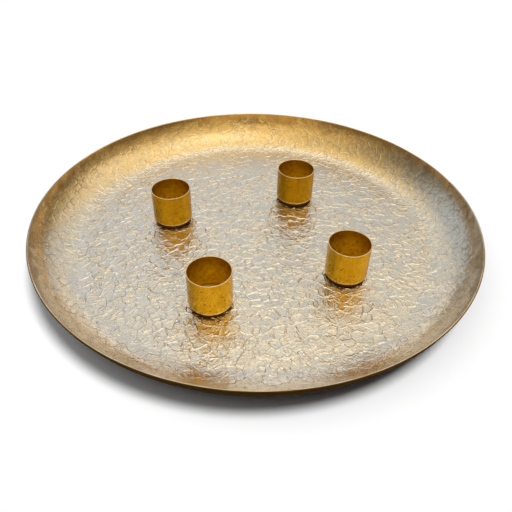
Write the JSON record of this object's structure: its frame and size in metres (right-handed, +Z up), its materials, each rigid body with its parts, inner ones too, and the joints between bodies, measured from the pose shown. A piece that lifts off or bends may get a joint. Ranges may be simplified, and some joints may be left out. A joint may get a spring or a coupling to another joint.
{
  "type": "candle plate",
  "caption": "Round shallow metal dish with an upturned wall and small magnetic cups that stand on it and hold tall candles.",
  "frame": {"origin": "centre of the dish's flat underside, on the surface it stands on", "axes": "+Z up, out of the dish; +X to the right and +Y away, as the picture sees the dish"},
  "size_m": [0.25, 0.25, 0.0225],
  "materials": {
    "dish_metal": "satin",
    "cup_brass": "satin",
    "magnet_black": "matte",
    "rivet_brass": "satin"
  },
  "bodies": {
    "plate": {"plate": "dish_metal"},
    "left_holder": {"left_cup": "cup_brass", "left_magnet": "magnet_black", "left_rivet": "rivet_brass"},
    "back_holder": {"back_cup": "cup_brass", "back_magnet": "magnet_black", "back_rivet": "rivet_brass"},
    "front_holder": {"front_cup": "cup_brass", "front_magnet": "magnet_black", "front_rivet": "rivet_brass"},
    "right_holder": {"right_cup": "cup_brass", "right_magnet": "magnet_black", "right_rivet": "rivet_brass"}
  },
  "joints": [
    {"name": "left_lift", "type": "slide", "parent": "plate", "child": "left_holder", "axis": [0, 0, 1], "range_m": [0, 0.03]},
    {"name": "back_lift", "type": "slide", "parent": "plate", "child": "back_holder", "axis": [0, 0, 1], "range_m": [0, 0.03]},
    {"name": "front_lift", "type": "slide", "parent": "plate", "child": "front_holder", "axis": [0, 0, 1], "range_m": [0, 0.03]},
    {"name": "right_lift", "type": "slide", "parent": "plate", "child": "right_holder", "axis": [0, 0, 1], "range_m": [0, 0.03]}
  ]
}
